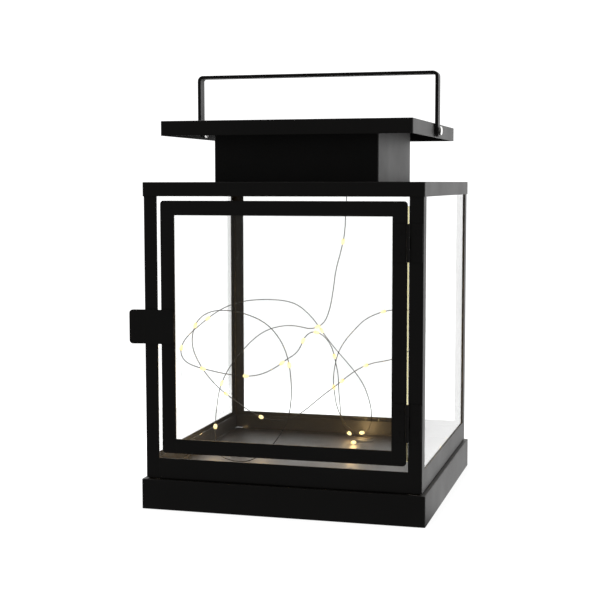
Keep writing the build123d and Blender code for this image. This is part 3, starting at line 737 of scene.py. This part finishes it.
# %% [markdown]
# ## Surroundings and light
#
# The lantern stands on a bright white sweep, which rises behind it, and is hardly lit from the
# camera's side. That is why its front reads as nearly black, while faces seen at a glancing angle
# mirror the sweep and turn grey. A lamp behind a paper backdrop could give this, but one rule for
# brightness is easier to tune: bright behind the lantern and dim before it. The rule is a node
# group, which the world and the floor share.

# %% The sweep's brightness
FRONT_LEVEL = 0.125         # brightness of the room on the camera's side
SWEEP_LEVEL = 1.40          # brightness of the sweep as metal and glass mirror it
SEEN_LEVEL = 1.21           # the sweep is overexposed, so it stays white through two panes
TURN_FROM, TURN_TO = -0.35, 0.45    # Y part of the direction where the sweep begins, and is full
BOUNCE_LIMIT = 0.5          # fewer bounces than this means none


def set_range(node, from_low, from_high, to_low, to_high):
    """The four plain values of a Map Range node."""
    for label, value in (("From Min", from_low), ("From Max", from_high),
                         ("To Min", to_low), ("To Max", to_high)):
        node.inputs[label].default_value = value


def make_sweep_group():
    """Brightness from the Y part of a unit direction, in a smooth step from the front level to the
    sweep's."""
    group, start, end = new_group("sweep_level", {"Direction": VECTOR}, {"Level": VALUE})
    unit = add_node(group, "ShaderNodeVectorMath", operation="NORMALIZE")
    split = add_node(group, "ShaderNodeSeparateXYZ")
    ramp = add_node(group, "ShaderNodeMapRange", interpolation_type="SMOOTHSTEP")
    set_range(ramp, TURN_FROM, TURN_TO, FRONT_LEVEL, SWEEP_LEVEL)
    group.links.new(start.outputs["Direction"], unit.inputs[0])
    group.links.new(unit.outputs["Vector"], split.inputs["Vector"])
    group.links.new(split.outputs["Y"], ramp.inputs["Value"])
    group.links.new(ramp.outputs["Result"], end.inputs["Level"])
    return group


def overexpose(tree, level, gain=None):
    """The given level. For a ray that comes from the camera, straight or only through glass, it is
    the seen level instead, times any gain."""
    path = add_node(tree, "ShaderNodeLightPath")
    seen = add_node(tree, "ShaderNodeMath", operation="MAXIMUM")
    bounces = add_node(tree, "ShaderNodeMath", operation="ADD")
    direct = add_node(tree, "ShaderNodeMath", {1: BOUNCE_LIMIT}, operation="LESS_THAN")
    plain = add_node(tree, "ShaderNodeMath", operation="MULTIPLY")
    choice = add_node(tree, "ShaderNodeMix", {VALUE_SECOND: SEEN_LEVEL}, data_type="FLOAT")
    link = tree.links.new
    link(path.outputs["Is Camera Ray"], seen.inputs[0])
    link(path.outputs["Is Transmission Ray"], seen.inputs[1])
    link(path.outputs["Diffuse Depth"], bounces.inputs[0])
    link(path.outputs["Glossy Depth"], bounces.inputs[1])
    link(bounces.outputs[0], direct.inputs[0])
    link(seen.outputs[0], plain.inputs[0])
    link(direct.outputs[0], plain.inputs[1])
    link(plain.outputs[0], choice.inputs[MIX_SHARE])
    link(level, choice.inputs[VALUE_FIRST])
    if gain is not None:
        bright = add_node(tree, "ShaderNodeMath", {1: SEEN_LEVEL}, operation="MULTIPLY")
        link(gain, bright.inputs[0])
        link(bright.outputs[0], choice.inputs[VALUE_SECOND])
    return choice.outputs[VALUE_MIXED]


sweep_group = make_sweep_group()
print("made", sweep_group.name)

# %% [markdown]
# In Blender the world is an endless sphere that lights everything. Its Generated coordinate is the
# direction of a ray, which is just what the rule needs. The Standard view transform keeps white as
# white.

# %% World
def make_world():
    """A world whose direction goes straight into the sweep's rule."""
    world = bpy.data.worlds.new("white_sweep")
    bpy.context.scene.world = world
    world.use_nodes = True
    tree = world.node_tree
    place = add_node(tree, "ShaderNodeTexCoord")
    sweep = add_node(tree, "ShaderNodeGroup", node_tree=sweep_group)
    tree.links.new(place.outputs["Generated"], sweep.inputs["Direction"])
    level = overexpose(tree, sweep.outputs["Level"])
    tree.links.new(level, tree.nodes["Background"].inputs["Color"])
    return world


white_sweep = make_world()
bpy.context.scene.view_settings.view_transform = "Standard"
print("made", white_sweep.name)

# %% [markdown]
# The floor is the near part of the same sweep: a wide plane just under the plinth. A place on it,
# seen from under the lantern's front, stands for the direction, so it carries on from the world
# without an edge. A little painted shadow, a darkening where the plinth touches it, keeps the
# lantern from floating. It isn't part of the lantern. A round pool of painted light makes it glow
# more there, so that the left pane shows pure white.

# %% Floor
FLOOR_HALF = 6.0            # metres from the middle to an edge
FLOOR_GAP = 0.1 * MM        # keeps the floor clear of the plinth's lower rim
FLOOR_EYE = (0.0, 0.075, 0.0)   # added to a place: the dim part starts before the lantern
# painted pool of light: a round patch of the floor glows brighter for the camera
POOL_PLACE = (-0.18, 0.24, 0.0)     # where the floor is brightest
POOL_CORE, POOL_EDGE = 0.14, 0.27   # metres from there to where it starts to fade, and is gone
POOL_GAIN = 1.38            # how much brighter it is
# painted contact shadow: ambient occlusion darkens the floor's glow near the plinth
SHADE_REACH = 60 * MM       # how far from the plinth the floor is shaded
SHADE_DEPTH = 0.42          # how much darker the floor is where it sees nothing but plinth
SHADE_SAMPLES = 8


def make_floor_finish():
    """A plain glow by the sweep's rule. The gain for the camera is a painted contact shadow, which
    runs from one minus its depth up to one, times a painted pool of light, which falls to one with
    the distance from its middle."""
    material = bpy.data.materials.new("white_floor")
    material.use_nodes = True
    tree = material.node_tree
    tree.nodes.remove(tree.nodes["Principled BSDF"])
    glow = add_node(tree, "ShaderNodeEmission")
    place = add_node(tree, "ShaderNodeTexCoord")
    sweep = add_node(tree, "ShaderNodeGroup", node_tree=sweep_group)
    ahead = add_node(tree, "ShaderNodeVectorMath", {1: FLOOR_EYE}, operation="ADD")
    # painted contact shadow and painted pool of light, used only for what the camera sees
    shade = add_node(tree, "ShaderNodeAmbientOcclusion", {"Distance": SHADE_REACH},
                     samples=SHADE_SAMPLES)
    painted_shadow = add_node(tree, "ShaderNodeMapRange", {"To Min": 1.0 - SHADE_DEPTH})
    away = add_node(tree, "ShaderNodeVectorMath", {1: POOL_PLACE}, operation="DISTANCE")
    painted_pool = add_node(tree, "ShaderNodeMapRange")
    set_range(painted_pool, POOL_EDGE, POOL_CORE, 1.0, POOL_GAIN)
    gain = add_node(tree, "ShaderNodeMath", operation="MULTIPLY")
    link = tree.links.new
    link(place.outputs["Object"], ahead.inputs[0])
    link(ahead.outputs["Vector"], sweep.inputs["Direction"])
    link(shade.outputs["AO"], painted_shadow.inputs["Value"])
    link(place.outputs["Object"], away.inputs[0])
    link(away.outputs["Value"], painted_pool.inputs["Value"])
    link(painted_pool.outputs["Result"], gain.inputs[0])
    link(painted_shadow.outputs["Result"], gain.inputs[1])
    link(overexpose(tree, sweep.outputs["Level"], gain.outputs[0]), glow.inputs["Color"])
    link(glow.outputs["Emission"], tree.nodes["Material Output"].inputs["Surface"])
    material.cycles.emission_sampling = "NONE"
    return material


def add_floor():
    """A square of four corners at plus and minus half its width."""
    corners = np.array([[-1, -1], [1, -1], [1, 1], [-1, 1]]) * FLOOR_HALF
    vertices = np.column_stack([corners, np.full(len(corners), -FLOOR_GAP)])
    mesh = bpy.data.meshes.new("studio_floor_mesh")
    mesh.from_pydata(vertices.tolist(), [], [(0, 1, 2, 3)])
    mesh.materials.append(make_floor_finish())
    floor = bpy.data.objects.new("studio_floor", mesh)
    bpy.context.scene.collection.objects.link(floor)
    return floor


studio_floor = add_floor()
print("made", studio_floor.name, "with a half width in m of", FLOOR_HALF)

# %% [markdown]
# A small warm lamp sits in every drop. The ones near the floor are stronger, because their light is
# plainly seen on the metal there. The drops don't cast shadows, so that each lamp shines out
# through its own drop.

# %% Lamps at the drops
LAMP_COLOUR = (1.0, 0.66, 0.28)
LOW_WATTS, HIGH_WATTS = 0.020, 0.013
LOW_DROP = 50 * MM          # drops below this height count as near the floor
LAMP_RADIUS = 1.2 * MM


def add_lamp(name, place, watts):
    """A small round lamp."""
    data = bpy.data.lights.new(name, "POINT")
    data.energy = watts
    data.color = LAMP_COLOUR
    data.shadow_soft_size = LAMP_RADIUS
    lamp = bpy.data.objects.new(name, data)
    lamp.location = place
    bpy.context.scene.collection.objects.link(lamp)


drops.visible_shadow = False
for number, place in enumerate(drop_middles):
    watts = LOW_WATTS if place[2] < LOW_DROP else HIGH_WATTS
    add_lamp(f"drop_lamp_{number}", place.tolist(), watts)
print("lamps:", len(drop_middles))
